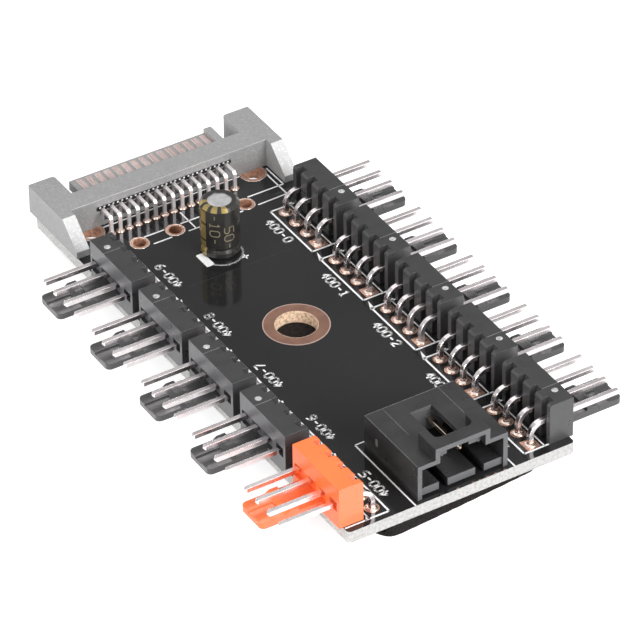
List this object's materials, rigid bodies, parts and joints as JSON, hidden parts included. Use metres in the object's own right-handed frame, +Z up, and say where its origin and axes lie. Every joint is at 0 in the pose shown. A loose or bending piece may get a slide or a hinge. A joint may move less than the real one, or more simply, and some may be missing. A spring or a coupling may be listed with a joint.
{
  "type": "pc fan controller hub",
  "caption": "Narrow circuit board with rows of fan headers on both long sides, a drive power inlet at one end, a small power socket at the other and a foam pad below.",
  "frame": {"origin": "centre of the whole part's outline seen from above, on the underside of the foam pad", "axes": "+X towards the right-hand row of headers, +Y along the board towards the drive power inlet, +Z up out of the board's fitted face"},
  "size_m": [0.0484, 0.0746, 0.0111],
  "materials": {
    "black_plastic": "satin moulded plastic",
    "orange_plastic": "satin moulded plastic",
    "grey_plastic": "satin moulded plastic",
    "pin_metal": "bright tin plating",
    "circuit_board": "glossy black solder mask with a pale cut edge",
    "copper": "bare copper",
    "contact_copper": "plated copper alloy",
    "gold_pins": "gold plating",
    "solder": "bright solder",
    "foam": "rough foam",
    "can_aluminium": "bright drawn aluminium",
    "sleeve_plastic": "glossy shrunk film with gold marks",
    "rubber_bung": "matt rubber"
  },
  "bodies": {
    "root": {"header_left_1_housing": "orange_plastic", "header_left_1_pins": "pin_metal", "header_left_2_housing": "black_plastic", "header_left_2_pins": "pin_metal", "header_left_3_housing": "black_plastic", "header_left_3_pins": "pin_metal", "header_left_4_housing": "black_plastic", "header_left_4_pins": "pin_metal", "header_left_5_housing": "black_plastic", "header_left_5_pins": "pin_metal", "header_right_1_housing": "black_plastic", "header_right_1_pins": "pin_metal", "header_right_2_housing": "black_plastic", "header_right_2_pins": "pin_metal", "header_right_3_housing": "black_plastic", "header_right_3_pins": "pin_metal", "header_right_4_housing": "black_plastic", "header_right_4_pins": "pin_metal", "header_right_5_housing": "black_plastic", "header_right_5_pins": "pin_metal", "board": "circuit_board", "mounting_hole_ring": "copper", "foam_pad": "foam", "drive_socket_housing": "grey_plastic", "drive_socket_contacts": "contact_copper", "power_socket_housing": "black_plastic", "power_socket_pins": "gold_pins", "capacitor_can": "can_aluminium", "capacitor_sleeve": "sleeve_plastic", "capacitor_bung": "rubber_bung", "capacitor_leads": "pin_metal", "solder_joints": "solder"}
  },
  "joints": []
}
